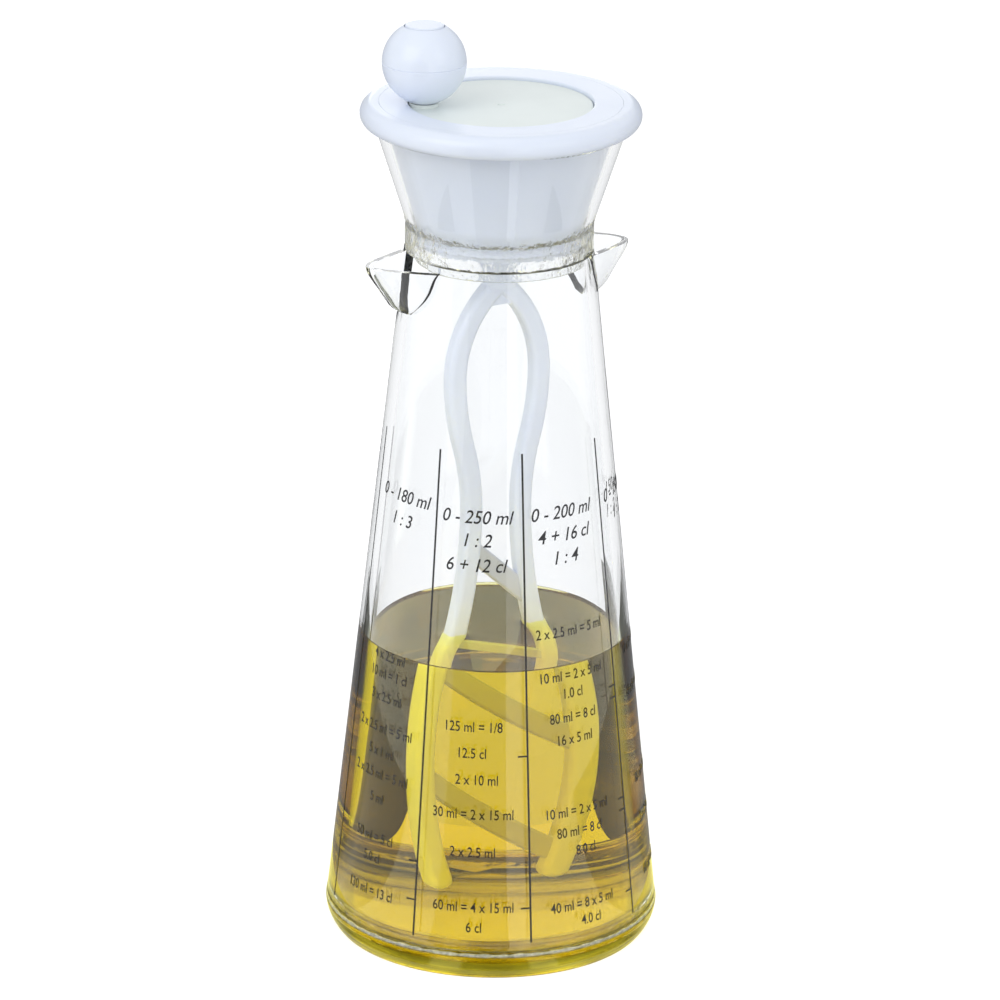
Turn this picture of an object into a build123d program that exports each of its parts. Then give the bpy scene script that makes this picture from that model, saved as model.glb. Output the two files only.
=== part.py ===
from build123d import *
import math
import os

# A salad dressing shaker bottle: a clear tapered bottle with two pouring spouts and a flared neck collar,
# and a plug lid whose turntable is cranked by a ball knob and spins a two-legged whisk in the bottle.
# Lengths are in millimetres. The origin is the centre of the base on the table, +Z is up, and X runs
# through the two spouts.

# Bottle body
body_bottom_radius = 38.95      # outside, at the seam with the base
body_rim_radius = 21.72         # outside, at the rim
body_rim_height = 165.8
body_bottom_wall = 2.8
body_rim_wall = 2.4
seam_flare = 0.15               # the foot of the body flares out to meet the base
seam_flare_height = 2.2

# Bottle base
base_lip = 0.05                 # the base's edge stands out this far past the foot of the body
base_bulge = 2.3                # from the foot ring out to the base's edge
base_seam_height = 6.0
base_floor_thickness = 2.6
base_foot_width = 4.0
base_recess = 1.0
base_edge_break = 0.3
base_spigot_height = 3.0
base_spigot_wall = 1.6

# Spouts
right_spout_reach = 9.58        # from the body's rim out to the tip
right_spout_lip_drop = 0.8      # from the body's rim down to the spout's level lip
left_spout_reach = 10.28
left_spout_lip_drop = 1.9
spout_depth = 11.9              # from the lip down to the root of the keel
spout_half_angle = 33.5         # of the lip where it leaves the body, in degrees
spout_wall = 1.5                # at the tip
spout_side_wall = 2.0           # where the spout's sides leave the body
spout_level_shares = [0.0, 0.12, 0.3, 0.6, 1.0]
spout_side_reach_shares = [0.3, 0.6, 0.88]
spout_side_width_shares = [0.8, 0.55, 0.28]
spout_keel_power = 0.67         # how fast the keel reaches out as it rises
spout_spread_power = 0.4        # how fast the sides spread as they rise

# Neck collar
collar_ring_step = 0.16         # the collar's ring stands in this far from the body's rim
collar_ring_height = 6.6
collar_height = 28.9            # from the body's rim to the lid's flange
collar_flare = 7.19             # from the ring out to the collar's mouth
collar_wall = 2.3
collar_throat_wall = 3.2
collar_spigot_length = 2.5
collar_shoulder_rise = 5.2      # shoulder inside the collar, above the rim
collar_edge_break = 0.5

# Lid plug and its round-edged flange
plug_bottom_rise = 5.9          # the foot of the plug's cone, above the body's rim
plug_bottom_gap = 0.42          # from the foot of the cone to the collar
plug_top_gap = 0.66             # from the top of the cone to the collar
plug_wall = 2.2
flange_overhang = 3.25          # past the collar's mouth
flange_thickness = 5.4
flange_rim_width = 4.3          # around the recess
plug_spigot_length = 3.3
plug_floor_thickness = 2.0
plug_recess_depth = 3.7
bearing_radius = 5.4
bearing_gap = 0.5               # below the turntable's hub

# Bezel ring
bezel_width = 6.6
bezel_lip_thickness = 1.9
bezel_rim_width = 1.95
bezel_edge_radius = 0.4

# Turntable
disc_drop = 0.7                 # below the bezel's top
disc_thickness = 1.8
disc_flange_width = 5.2
disc_hub_radius = 5.2
disc_hub_length = 12.4
disc_edge_radius = 0.3
disc_rib_count = 6
disc_rib_thickness = 1.4
disc_gate_radius = 0.9
disc_gate_height = 0.15

# Drive shaft, with a square drive at each end
shaft_radius = 3.0
shaft_square = 4.0
shaft_top_square_length = 9.5
shaft_bottom_square_length = 6.8

# Seals
plug_seal_gap = 0.5             # from the seal's body to the throat
plug_seal_thickness = 1.9       # around the plug's spigot
plug_seal_lip_height = 0.9
plug_seal_foot = 0.8
plug_seal_foot_width = 4.9
shaft_seal_radius = 4.7
shaft_seal_length = 1.8
shaft_seal_flange_radius = 6.2

# Whisk
hub_radius = 3.9
hub_top_radius = 4.35
hub_top_thickness = 1.4
hub_height = 8.2
hub_top_drop = 0.8              # below the body's rim
leg_width = 4.6
leg_depth = 4.3
leg_corner = 1.3
leg_start_drop = 7.35           # below the hub's top
bulge_radius = 10.94
waist_radius = 6.43
belly_radius = 14.4
toe_radius = 10.3
bulge_height_share = 0.8595     # of the height where the legs start, as all these heights
waist_height_share = 0.6527
belly_height_share = 0.2753
toe_height_share = 0.0901
crotch_height_share = 0.968
rung_height_shares = [0.5563, 0.3647, 0.1763]
crotch_web_thickness = 3.2
rung_fall = 42.0                # degrees below level, from the left leg to the right leg
rung_width = 4.7
rung_thickness = 2.5
rung_edge_radius = 0.7
whisk_angle = 8.4               # of the whisk's plane about Z, in degrees

# Ball knob and its pin
knob_radius = 9.6
knob_sink = 0.2                 # of the ball's lowest point below the lid's top
knob_inset = 3.4                # from the disc's edge in to the ball's centre
knob_angle = 166.0              # about Z from +X, in degrees
knob_wall = 1.8
knob_tube_radius = 4.4
knob_lap = 0.8                  # width and height of the step between the two halves
knob_parting_groove = 0.15
pin_boss_radius = 3.3
pin_boss_height = 0.8
pin_radius = 2.6
pin_head_radius = 4.45
pin_head_thickness = 3.2
pin_head_drop = 0.85            # top of the head below the ball's top
pin_head_edge = 0.4
pin_stem_radius = 2.15
pin_socket_radius = 4.2
pin_socket_length = 5.0

# Clearances
running_gap = 0.06              # a shaft in its bore
seal_gap = 0.15                 # a seal's lip in its bore
push_gap = 0.05                 # a pressed, glued or snapped joint
free_gap = 0.2                  # faces that pass each other
overrun = 1.0                   # cuts run this far past what they cut


def turned(outline):
    """Turn a closed outline of (radius, height) points about the Z axis."""
    profile = make_face(Polyline(*outline, close=True))
    return revolve(Plane.XZ * profile, Axis.Z)


def ring(inner, outer, low, high):
    """A plain ring about the Z axis."""
    return turned([(inner, low), (outer, low), (outer, high), (inner, high)])


def post(radius, low, high, place=(0, 0)):
    """A round post standing at a place in plan."""
    return extrude(Pos(place[0], place[1], low) * Circle(radius), high - low)


def body_radius(height):
    """Outside radius of the tapered body at a height."""
    share = (height - base_seam_height) / (body_rim_height - base_seam_height)
    return body_bottom_radius + (body_rim_radius - body_bottom_radius) * share


def body_wall(height):
    """Wall of the tapered body at a height."""
    share = (height - base_seam_height) / (body_rim_height - base_seam_height)
    return body_bottom_wall + (body_rim_wall - body_bottom_wall) * share


def body_inside(height):
    """Inside radius of the tapered body at a height."""
    return body_radius(height) - body_wall(height)


# Radii, heights and places that follow from the sizes above
base_radius = body_bottom_radius + seam_flare + base_lip
base_foot_radius = base_radius - base_bulge
right_spout_tip_radius = body_rim_radius + right_spout_reach
left_spout_tip_radius = body_rim_radius + left_spout_reach
collar_ring_radius = body_rim_radius - collar_ring_step
collar_ring_top = body_rim_height + collar_ring_height
collar_top_radius = collar_ring_radius + collar_flare
collar_throat_radius = collar_ring_radius - collar_throat_wall
flange_bottom = body_rim_height + collar_height
lid_top = flange_bottom + flange_thickness
flange_radius = collar_top_radius + flange_overhang
recess_floor = lid_top - plug_recess_depth
plug_recess_radius = flange_radius - flange_rim_width
plug_shoulder = body_rim_height + plug_bottom_rise
plug_bottom = plug_shoulder - plug_spigot_length
plug_seal_radius = collar_throat_radius - plug_seal_gap
plug_spigot_radius = plug_seal_radius - plug_seal_thickness
bezel_radius = plug_recess_radius - push_gap
bezel_hole_radius = plug_recess_radius - bezel_width
disc_radius = bezel_hole_radius - free_gap
disc_top = lid_top - disc_drop
disc_bottom = disc_top - disc_thickness
disc_flange_radius = bezel_radius - bezel_rim_width - free_gap - free_gap
disc_flange_top = lid_top - bezel_lip_thickness - free_gap
disc_flange_bottom = recess_floor + free_gap
disc_hub_bottom = disc_top - disc_hub_length
bearing_top = disc_hub_bottom - bearing_gap
hub_top_height = body_rim_height - hub_top_drop
leg_start_height = hub_top_height - leg_start_drop
bulge_height = leg_start_height * bulge_height_share
waist_height = leg_start_height * waist_height_share
belly_height = leg_start_height * belly_height_share
toe_height = leg_start_height * toe_height_share
crotch_height = leg_start_height * crotch_height_share
knob_centre_height = lid_top + knob_radius - knob_sink
knob_centre_radius = disc_radius - knob_inset
knob_place = (
    knob_centre_radius * math.cos(math.radians(knob_angle)),
    knob_centre_radius * math.sin(math.radians(knob_angle)),
)
pin_boss_top = disc_top + pin_boss_height
knob_flat = pin_boss_top + free_gap
pin_head_top = knob_centre_height + knob_radius - pin_head_drop
pin_head_bottom = pin_head_top - pin_head_thickness
pin_bottom = disc_top - pin_socket_length


def collar_outside(height):
    """Outside radius of the collar's funnel at a height, or of the ring below it."""
    share = max((height - collar_ring_top) / (flange_bottom - collar_ring_top), 0)
    return collar_ring_radius + (collar_top_radius - collar_ring_radius) * share


def make_base():
    """The round-edged bottom, with a foot ring and a spigot that enters the body."""
    foot_inside = base_foot_radius - base_foot_width
    floor_top = base_recess + base_floor_thickness
    spigot_top = base_seam_height + base_spigot_height
    spigot_radius = body_inside(spigot_top) - push_gap
    spigot_inside = spigot_radius - base_spigot_wall
    arc_radius = (base_bulge**2 + base_seam_height**2) / (base_bulge + base_bulge)
    arc_angle = math.degrees(math.asin(base_seam_height / arc_radius))
    side = CenterArc((base_radius - arc_radius, base_seam_height), arc_radius, -arc_angle, arc_angle)
    outline = Polyline(
        side @ 1,
        (spigot_radius, base_seam_height),
        (spigot_radius, spigot_top),
        (spigot_inside, spigot_top),
        (spigot_inside, floor_top),
        (0, floor_top),
        (0, base_recess),
        (foot_inside, base_recess),
        (foot_inside, 0),
        side @ 0,
    )
    base = revolve(Plane.XZ * make_face([side, outline]), Axis.Z)
    lip_edge = base.edges().filter_by(GeomType.CIRCLE).sort_by(SortBy.RADIUS)[-1]
    return fillet(lip_edge, base_edge_break)


def spout_section(share, inset, lip_height, tip_radius):
    """Level face of a spout at a share of its height, drawn in by an inset for its inside."""
    height = lip_height - spout_depth * (1 - share)
    wall_radius = body_radius(height)
    full_reach = tip_radius - body_radius(lip_height)
    # The lowest section lies inside the body's wall, so that the keel grows out of it
    sink = 0 if share else body_rim_wall / 2
    tip_x = wall_radius + full_reach * share**spout_keel_power - sink - inset
    spread_share = max(share, spout_level_shares[1] / 2) ** spout_spread_power
    spread = math.radians(spout_half_angle * spread_share)
    # The sides start a third of the way into the wall
    root_radius = wall_radius - body_rim_wall / 3
    root_x = min(root_radius * math.cos(spread), tip_x - spout_wall / 3)
    root_y = root_radius * math.sin(spread) - inset * spout_side_wall / spout_wall
    right = [(root_x, root_y)]
    for reach_share, width_share in zip(spout_side_reach_shares, spout_side_width_shares):
        right.append((root_x + (tip_x - root_x) * reach_share, root_y * width_share))
    left = [(x, -y) for x, y in reversed(right)]
    lip = Spline(*right, (tip_x, 0), *left)
    back_x = root_x - body_bottom_wall - inset
    back = Polyline(lip @ 1, (back_x, -root_y), (back_x, root_y), lip @ 0)
    return Pos(0, 0, height) * make_face([lip, back])


def make_spout(inset, lip_height, tip_radius):
    """A spout's outside, or with an inset the pocket inside it, pointing along X."""
    return loft([spout_section(share, inset, lip_height, tip_radius) for share in spout_level_shares])


def make_pocket(lip_height, tip_radius):
    """The inside of a spout, carried up past the body's rim so that it is open at the top."""
    mouth = spout_section(1, spout_wall, lip_height, tip_radius)
    rise = body_rim_height - lip_height + overrun
    return make_spout(spout_wall, lip_height, tip_radius) + extrude(mouth, rise)


def make_body():
    """The clear tapered shell with a spout on each side, open to the inside right up to the rim."""
    flare_top = base_seam_height + seam_flare_height
    shell = turned(
        [
            (0, base_seam_height),
            (body_bottom_radius + seam_flare, base_seam_height),
            (body_radius(flare_top), flare_top),
            (body_rim_radius, body_rim_height),
            (0, body_rim_height),
        ]
    )
    hollow = turned(
        [
            (0, base_seam_height),
            (body_inside(base_seam_height), base_seam_height),
            (body_inside(body_rim_height), body_rim_height),
            (0, body_rim_height),
        ]
    )
    right_lip_height = body_rim_height - right_spout_lip_drop
    left_lip_height = body_rim_height - left_spout_lip_drop
    shell += make_spout(0, right_lip_height, right_spout_tip_radius)
    shell += Rot(0, 0, 180) * make_spout(0, left_lip_height, left_spout_tip_radius)
    shell -= hollow
    shell -= make_pocket(right_lip_height, right_spout_tip_radius)
    shell -= Rot(0, 0, 180) * make_pocket(left_lip_height, left_spout_tip_radius)
    return shell


def make_collar():
    """The clear flared funnel, with a spigot that enters the body's mouth."""
    spigot_bottom = body_rim_height - collar_spigot_length
    spigot_radius = body_inside(body_rim_height) - push_gap
    shoulder = body_rim_height + collar_shoulder_rise
    shoulder_radius = collar_outside(shoulder) - collar_wall
    collar = turned(
        [
            (collar_throat_radius, spigot_bottom),
            (spigot_radius, spigot_bottom),
            (spigot_radius, body_rim_height),
            (collar_ring_radius, body_rim_height),
            (collar_ring_radius, collar_ring_top),
            (collar_top_radius, flange_bottom),
            (collar_top_radius - collar_wall, flange_bottom),
            (shoulder_radius, shoulder),
            (collar_throat_radius, shoulder),
        ]
    )
    mouth_edges = collar.edges().filter_by(GeomType.CIRCLE).filter_by_position(
        Axis.Z, flange_bottom - push_gap, flange_bottom + push_gap
    )
    return fillet(mouth_edges, collar_edge_break)


def plug_radius(height):
    """Outside radius of the plug's cone at a height."""
    share = (height - plug_shoulder) / (flange_bottom - plug_shoulder)
    bottom_radius = collar_outside(plug_shoulder) - collar_wall - plug_bottom_gap
    top_radius = collar_top_radius - collar_wall - plug_top_gap
    return bottom_radius + (top_radius - bottom_radius) * share


def make_lid_plug():
    """The hollow plug with its flange, the recess for the turntable and the shaft's bearing."""
    edge_radius = flange_thickness / 2
    edge = CenterArc((flange_radius - edge_radius, lid_top - edge_radius), edge_radius, -90, 180)
    cup_bottom = plug_shoulder + plug_wall
    floor_top = plug_bottom + plug_floor_thickness
    spigot_inside = plug_spigot_radius - plug_wall
    seal_seat = shaft_seal_radius + push_gap
    seal_seat_top = plug_bottom + shaft_seal_length
    bore = shaft_radius + running_gap
    outline = Polyline(
        edge @ 1,
        (plug_recess_radius, lid_top),
        (plug_recess_radius, recess_floor),
        (plug_radius(recess_floor) - plug_wall, recess_floor),
        (plug_radius(cup_bottom) - plug_wall, cup_bottom),
        (spigot_inside, cup_bottom),
        (spigot_inside, floor_top),
        (bearing_radius, floor_top),
        (bearing_radius, bearing_top),
        (bore, bearing_top),
        (bore, seal_seat_top),
        (seal_seat, seal_seat_top),
        (seal_seat, plug_bottom),
        (plug_spigot_radius, plug_bottom),
        (plug_spigot_radius, plug_shoulder),
        (plug_radius(plug_shoulder), plug_shoulder),
        (plug_radius(flange_bottom), flange_bottom),
        edge @ 0,
    )
    return revolve(Plane.XZ * make_face([edge, outline]), Axis.Z)


def make_bezel_ring():
    """The ring that closes the flange's recess and holds the turntable down."""
    lip_bottom = lid_top - bezel_lip_thickness
    rim_inside = bezel_radius - bezel_rim_width
    bezel = turned(
        [
            (bezel_hole_radius, lip_bottom),
            (bezel_hole_radius, lid_top),
            (bezel_radius, lid_top),
            (bezel_radius, recess_floor),
            (rim_inside, recess_floor),
            (rim_inside, lip_bottom),
        ]
    )
    hole_edge = bezel.edges().filter_by(GeomType.CIRCLE).group_by(Axis.Z)[-1].sort_by(SortBy.RADIUS)[0]
    return fillet(hole_edge, bezel_edge_radius)


def square_bar(side, low, high):
    """A square bar on the Z axis, in line with the whisk."""
    return extrude(Pos(0, 0, low) * Rot(0, 0, whisk_angle) * Rectangle(side, side), high - low)


def make_plug_seal():
    """The seal under and around the plug's spigot, with two lips for the throat."""
    inside = plug_spigot_radius + push_gap
    foot_bottom = plug_bottom - plug_seal_foot
    foot_top = plug_bottom - push_gap
    seal_top = plug_shoulder - push_gap
    lip_radius = collar_throat_radius - seal_gap
    half_lip = plug_seal_lip_height / 2
    lip_space = (seal_top - foot_bottom - plug_seal_lip_height * 2) / 3
    foot_inside = plug_seal_radius - plug_seal_foot_width
    low_lip = foot_bottom + lip_space + half_lip
    high_lip = seal_top - lip_space - half_lip
    return turned(
        [
            (foot_inside, foot_bottom),
            (plug_seal_radius, foot_bottom),
            (plug_seal_radius, low_lip - half_lip),
            (lip_radius, low_lip),
            (plug_seal_radius, low_lip + half_lip),
            (plug_seal_radius, high_lip - half_lip),
            (lip_radius, high_lip),
            (plug_seal_radius, high_lip + half_lip),
            (plug_seal_radius, seal_top),
            (inside, seal_top),
            (inside, foot_top),
            (foot_inside, foot_top),
        ]
    )


def make_shaft_seal():
    """The flanged grommet where the shaft leaves the plug's floor."""
    bore = shaft_radius + running_gap
    flange_low = plug_bottom - plug_seal_foot
    flange_high = plug_bottom - push_gap
    return turned(
        [
            (bore, flange_low),
            (shaft_seal_flange_radius, flange_low),
            (shaft_seal_flange_radius, flange_high),
            (shaft_seal_radius, flange_high),
            (shaft_seal_radius, plug_bottom + shaft_seal_length - push_gap),
            (bore, plug_bottom + shaft_seal_length - push_gap),
        ]
    )


def make_turntable():
    """The disc with its retaining flange, shaft hub, ribs and the socket for the knob's pin."""
    disc = post(disc_radius, disc_bottom, disc_top)
    top_edge = disc.edges().group_by(Axis.Z)[-1]
    disc = fillet(top_edge, disc_edge_radius)
    flange_inside = disc_flange_radius - disc_flange_width
    disc += ring(flange_inside, disc_flange_radius, disc_flange_bottom, disc_flange_top)
    disc += post(disc_hub_radius, disc_hub_bottom, disc_bottom)
    rib_length = disc_flange_radius - disc_hub_radius / 2 - disc_flange_width / 2
    rib_middle = disc_hub_radius / 2 + rib_length / 2
    rib_low = Pos(rib_middle, 0, disc_flange_bottom) * Rectangle(rib_length, disc_rib_thickness)
    rib = extrude(rib_low, disc_bottom - disc_flange_bottom)
    for index in range(disc_rib_count):
        disc += Rot(0, 0, knob_angle + 360 / disc_rib_count * index) * rib
    disc += post(pin_socket_radius, pin_bottom, disc_bottom, knob_place)
    disc += post(pin_boss_radius, disc_top, pin_boss_top, knob_place)
    disc += post(disc_gate_radius, disc_top, disc_top + disc_gate_height)
    disc -= post(pin_stem_radius + push_gap, pin_bottom, pin_boss_top, knob_place)
    socket_side = shaft_square + push_gap + push_gap
    socket_top = disc_hub_bottom + shaft_top_square_length + free_gap
    disc -= square_bar(socket_side, disc_hub_bottom, socket_top)
    return disc


def make_drive_shaft():
    """The round shaft with a square at each end, for the turntable's hub and the whisk's hub."""
    shaft = post(shaft_radius, hub_top_height, disc_hub_bottom)
    shaft += square_bar(shaft_square, disc_hub_bottom, disc_hub_bottom + shaft_top_square_length)
    shaft += square_bar(shaft_square, hub_top_height - shaft_bottom_square_length, hub_top_height)
    return shaft


def s_bend(start, end):
    """Two equal arcs, one after the other, between two points where the line runs straight down."""
    start_radius, start_height = start
    end_radius, end_height = end
    step = abs(end_radius - start_radius)
    drop = start_height - end_height
    bend = (drop**2 + step**2) / (step * 4)
    sweep_angle = math.degrees(math.asin(drop / 2 / bend))
    if end_radius < start_radius:
        first = CenterArc((start_radius - bend, start_height), bend, 0, -sweep_angle)
        second = CenterArc((end_radius + bend, end_height), bend, 180 - sweep_angle, sweep_angle)
    else:
        first = CenterArc((start_radius + bend, start_height), bend, 180, sweep_angle)
        second = CenterArc((end_radius - bend, end_height), bend, sweep_angle, -sweep_angle)
    return [first, second]


def leg_arcs():
    """The leg's centreline in (radius, height), from the hub down to the toe."""
    rise = leg_start_height - bulge_height
    top_bend = (rise**2 + bulge_radius**2) / (bulge_radius + bulge_radius)
    top_angle = math.degrees(math.asin(rise / top_bend))
    top = CenterArc((bulge_radius - top_bend, bulge_height), top_bend, top_angle, -top_angle)
    drop = belly_height - toe_height
    draw_in = belly_radius - toe_radius
    toe_bend = (drop**2 + draw_in**2) / (draw_in + draw_in)
    toe_angle = math.degrees(math.asin(drop / toe_bend))
    toe = CenterArc((belly_radius - toe_bend, belly_height), toe_bend, 0, -toe_angle)
    neck = s_bend((bulge_radius, bulge_height), (waist_radius, waist_height))
    belly = s_bend((waist_radius, waist_height), (belly_radius, belly_height))
    return [top] + neck + belly + [toe]


def make_leg():
    """One leg of rounded rectangular section with a round toe, in the XZ plane."""
    outline = Wire(leg_arcs()).offset_2d(leg_width / 2, kind=Kind.ARC)
    leg = extrude(Plane.XZ * make_face(outline), leg_depth / 2, both=True)
    long_edges = leg.edges().filter_by(Axis.Y, reverse=True)
    return fillet(long_edges, leg_corner)


def make_rungs():
    """The flat rungs, each falling from the left leg to the right leg and ending in the legs."""
    arcs = leg_arcs()
    right = Wire(arcs)
    left = right.mirror(Plane.YZ)
    between = make_face([right, left, Line(right @ 1, left @ 1)])
    space = extrude(Plane.XZ * between, rung_thickness, both=True)
    span = belly_radius * 4
    rungs = []
    for share in rung_height_shares:
        bar = Box(span, rung_thickness, rung_width)
        bar = fillet(bar.edges().filter_by(Axis.X), rung_edge_radius)
        place = Pos(0, 0, leg_start_height * share)
        rungs.append(space & (place * Rot(0, rung_fall, 0) * bar))
    return rungs


def make_crotch_web():
    """The web that fills the fork just under the hub, with an arched lower edge."""
    top_arc = leg_arcs()[0]
    right = top_arc @ (1 / 3)
    left = (-right.X, right.Y)
    arch = ThreePointArc(left, (0, crotch_height), (right.X, right.Y))
    sides = Polyline((right.X, right.Y), (0, leg_start_height), left)
    return extrude(Plane.XZ * make_face([arch, sides]), crotch_web_thickness / 2, both=True)


def make_whisk():
    """The hub, two legs, fork and rungs as one moulding, turned to its place about Z."""
    whisk = post(hub_radius, hub_top_height - hub_height, hub_top_height)
    whisk += post(hub_top_radius, hub_top_height - hub_top_thickness, hub_top_height)
    leg = make_leg()
    whisk += leg
    whisk += Rot(0, 0, 180) * leg
    whisk += make_crotch_web()
    for rung in make_rungs():
        whisk += rung
    whisk = Rot(0, 0, whisk_angle) * whisk
    socket_side = shaft_square + push_gap + push_gap
    socket_bottom = hub_top_height - shaft_bottom_square_length - free_gap
    return whisk - square_bar(socket_side, socket_bottom, hub_top_height)


def place_knob(piece):
    """Move a piece made about the ball's centre to the ball's place."""
    return Pos(knob_place[0], knob_place[1], knob_centre_height) * piece


def sphere_edge(radius, low, high):
    """An arc of the ball's outline between two heights from its centre, running upward."""
    start = math.degrees(math.asin(low / radius))
    end = math.degrees(math.asin(high / radius))
    return CenterArc((0, 0), radius, start, end - start)


def make_knob_lower_half():
    """The lower half of the hollow ball, with a tongue at the equator and a tube for the pin."""
    flat = knob_flat - knob_centre_height
    inside = knob_radius - knob_wall
    bore = pin_radius + running_gap
    tube_foot = -math.sqrt(inside**2 - knob_tube_radius**2)
    tongue_radius = inside + knob_lap
    outer = sphere_edge(knob_radius, flat, -knob_parting_groove)
    inner = sphere_edge(inside, tube_foot, 0)
    top = Polyline(
        outer @ 1,
        (knob_radius - knob_parting_groove, 0),
        (tongue_radius, 0),
        (tongue_radius, knob_lap),
        (inside, knob_lap),
        inner @ 1,
    )
    tube = Polyline(inner @ 0, (knob_tube_radius, 0), (bore, 0), (bore, flat), outer @ 0)
    return place_knob(revolve(Plane.XZ * make_face([outer, top, inner, tube]), Axis.Z))


def make_knob_upper_half():
    """The upper half of the hollow ball, with a well for the pin's head."""
    inside = knob_radius - knob_wall
    bore = pin_radius + running_gap
    well_radius = pin_head_radius + free_gap
    well_outside = well_radius + knob_wall / 2
    seat = pin_head_bottom - free_gap - knob_centre_height
    seat_bottom = seat - knob_wall
    rabbet_radius = inside + knob_lap + push_gap
    rabbet_top = knob_lap + push_gap
    well_top = math.sqrt(knob_radius**2 - well_radius**2)
    hollow_top = math.sqrt(inside**2 - well_outside**2)
    outer = sphere_edge(knob_radius, knob_parting_groove, well_top)
    inner = sphere_edge(inside, rabbet_top, hollow_top)
    equator = Polyline(
        inner @ 0,
        (rabbet_radius, rabbet_top),
        (rabbet_radius, 0),
        (knob_radius - knob_parting_groove, 0),
        outer @ 0,
    )
    well = Polyline(
        outer @ 1,
        (well_radius, seat),
        (bore, seat),
        (bore, 0),
        (knob_tube_radius, 0),
        (knob_tube_radius, seat_bottom),
        (well_outside, seat_bottom),
        inner @ 1,
    )
    return place_knob(revolve(Plane.XZ * make_face([inner, equator, outer, well]), Axis.Z))


def make_knob_pin():
    """The pin that carries the ball, with its head flush in the ball's top."""
    head = post(pin_head_radius, pin_head_bottom, pin_head_top, knob_place)
    head = fillet(head.edges().group_by(Axis.Z)[-1], pin_head_edge)
    shank = post(pin_radius, pin_boss_top, pin_head_bottom, knob_place)
    stem = post(pin_stem_radius, pin_bottom, pin_boss_top, knob_place)
    return head + shank + stem


parts = {
    "bottle_base": make_base(),
    "bottle_body": make_body(),
    "neck_collar": make_collar(),
    "lid_plug": make_lid_plug(),
    "bezel_ring": make_bezel_ring(),
    "plug_seal": make_plug_seal(),
    "shaft_seal": make_shaft_seal(),
    "turntable": make_turntable(),
    "drive_shaft": make_drive_shaft(),
    "whisk": make_whisk(),
    "knob_pin": make_knob_pin(),
    "knob_lower_half": make_knob_lower_half(),
    "knob_upper_half": make_knob_upper_half(),
}

os.makedirs("parts", exist_ok=True)
for name, solid in parts.items():
    export_step(solid, f"parts/{name}.step")
    print(name, round(solid.volume, 1), solid.is_valid)
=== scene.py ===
import math

import bmesh
import bpy
from mathutils import Matrix, Vector


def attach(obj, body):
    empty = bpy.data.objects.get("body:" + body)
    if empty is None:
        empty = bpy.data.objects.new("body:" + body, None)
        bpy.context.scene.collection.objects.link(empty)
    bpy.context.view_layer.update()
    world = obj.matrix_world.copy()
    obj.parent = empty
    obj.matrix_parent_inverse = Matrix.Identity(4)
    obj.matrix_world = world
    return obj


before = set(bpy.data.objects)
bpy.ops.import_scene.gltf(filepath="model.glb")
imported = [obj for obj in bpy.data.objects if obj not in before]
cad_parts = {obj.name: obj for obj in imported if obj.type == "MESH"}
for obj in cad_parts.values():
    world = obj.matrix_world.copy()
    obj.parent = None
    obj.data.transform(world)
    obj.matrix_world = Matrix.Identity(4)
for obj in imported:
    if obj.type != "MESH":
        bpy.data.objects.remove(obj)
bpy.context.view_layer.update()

# The looks of a salad dressing shaker bottle: clear moulded bottle, bluish white lid and whisk, a black
# printed scale, and the yellow oil that it is shown with. Lengths are in metres, in the CAD's frame.

# The bottle's cone, as in the CAD
SEAM_HEIGHT = 0.006
SEAM_RADIUS = 0.03895
SEAM_WALL = 0.0028
RIM_HEIGHT = 0.1658
RIM_RADIUS = 0.02172
RIM_WALL = 0.0024
FLOOR_TOP = 0.0036
SPIGOT_TOP = 0.009
SPIGOT_INSIDE = 0.034184

# Opaque plastics: the two colours that cloud into each other, roughness, coat and subsurface. The ink
# has the first three.
WHITE_LOOK = ((0.78, 0.835, 0.945), (0.81, 0.86, 0.96), 0.3, 0.2, 0.1)
WHISK_LOOK = ((0.765, 0.815, 0.95), (0.805, 0.855, 0.97), 0.4, 0.1, 0.1)
DISC_LOOK = ((0.78, 0.83, 0.80), (0.81, 0.86, 0.83), 0.45, 0.0, 0.0)
SEAL_LOOK = ((0.72, 0.76, 0.84), (0.76, 0.80, 0.88), 0.55, 0.0, 0.3)
GLUE_LOOK = ((0.5, 0.51, 0.48), (0.93, 0.94, 0.92), 0.25, 0.0, 0.0)
INK_LOOK = ((0.008, 0.008, 0.01), (0.03, 0.03, 0.035), 0.45)
TINT_ENDS = (0.35, 0.65)        # of a noise, where the two colours are reached
COAT_ROUGHNESS = 0.08
SUBSURFACE_REACH = (0.004, 0.004, 0.005)
GLUE_CLEARNESS = 0.35
PLASTIC_IOR = 1.5
CLEAR_COLOR = (0.945, 0.955, 0.965)
CLEAR_SHADOW = (0.97, 0.98, 0.98)

# Noises, per metre, their detail, and the strength and depth of the bumps that they make
NOISE_DETAIL = 3.0              # of those with none of their own
CLOUD_SCALE = 60.0
RIPPLE_SCALE = 900.0
RIPPLE_DETAIL = 2.0
RIPPLE_BUMP = (0.06, 0.0002)
WAVE_SCALE = 45.0
WAVE_DETAIL = 1.0
WAVE_STRETCH = (1, 1, 0.4)
WAVE_BUMP = (0.1, 0.0006)
CRINKLE_SCALE = 420.0
CRINKLE_DEPTH = 0.0008
GLINT_PATCH_SCALE = 55.0
GLINT_PATCH_DETAIL = 2.0
BUBBLE_SCALE = 1100.0
INK_SCALE = 2500.0

# Frosted and crinkled heights, where the pieces are glued, and their roughness and strength of crinkles
SEAM_FROST = (0.0052, 0.0072)
COLLAR_FROST = (0.163, 0.1724)
FROST_FADE = 0.0004
BODY_FROST_LOOK = (0.12, 0.6)
BASE_FROST_LOOK = (0.15, 0.5)
COLLAR_FROST_LOOK = (0.2, 0.9)

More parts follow.
